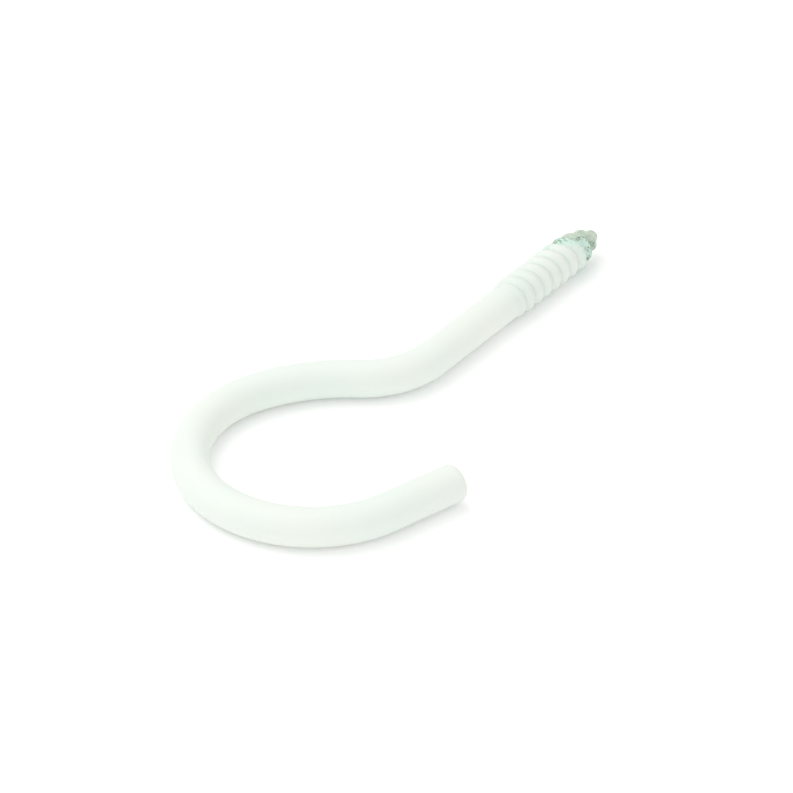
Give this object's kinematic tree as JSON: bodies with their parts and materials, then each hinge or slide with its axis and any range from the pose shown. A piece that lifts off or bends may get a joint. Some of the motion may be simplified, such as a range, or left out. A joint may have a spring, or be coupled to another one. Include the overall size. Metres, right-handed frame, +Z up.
{
  "type": "clothesline hook",
  "caption": "Round-bend screw hook of bent steel rod with a coarse wood thread and gimlet point, dipped in white vinyl that stops raggedly short of the bare point.",
  "frame": {"origin": "on the screw's axis, where the thread starts to rise out of the shank; the rod's centreline lies in the plane Z = 0", "axes": "+Y along the screw's axis towards its point, +X to the side that the hook opens to, +Z up from the surface that the hook lies on"},
  "size_m": [0.0636, 0.1396, 0.0094],
  "materials": {
    "zinc_plated_steel": "dull zinc plating, greenish grey, bare at the point",
    "white_vinyl": "soft satin dip coat, slightly greenish white"
  },
  "bodies": {
    "root": {"steel_hook": "zinc_plated_steel", "vinyl_coating": "white_vinyl"}
  },
  "joints": []
}
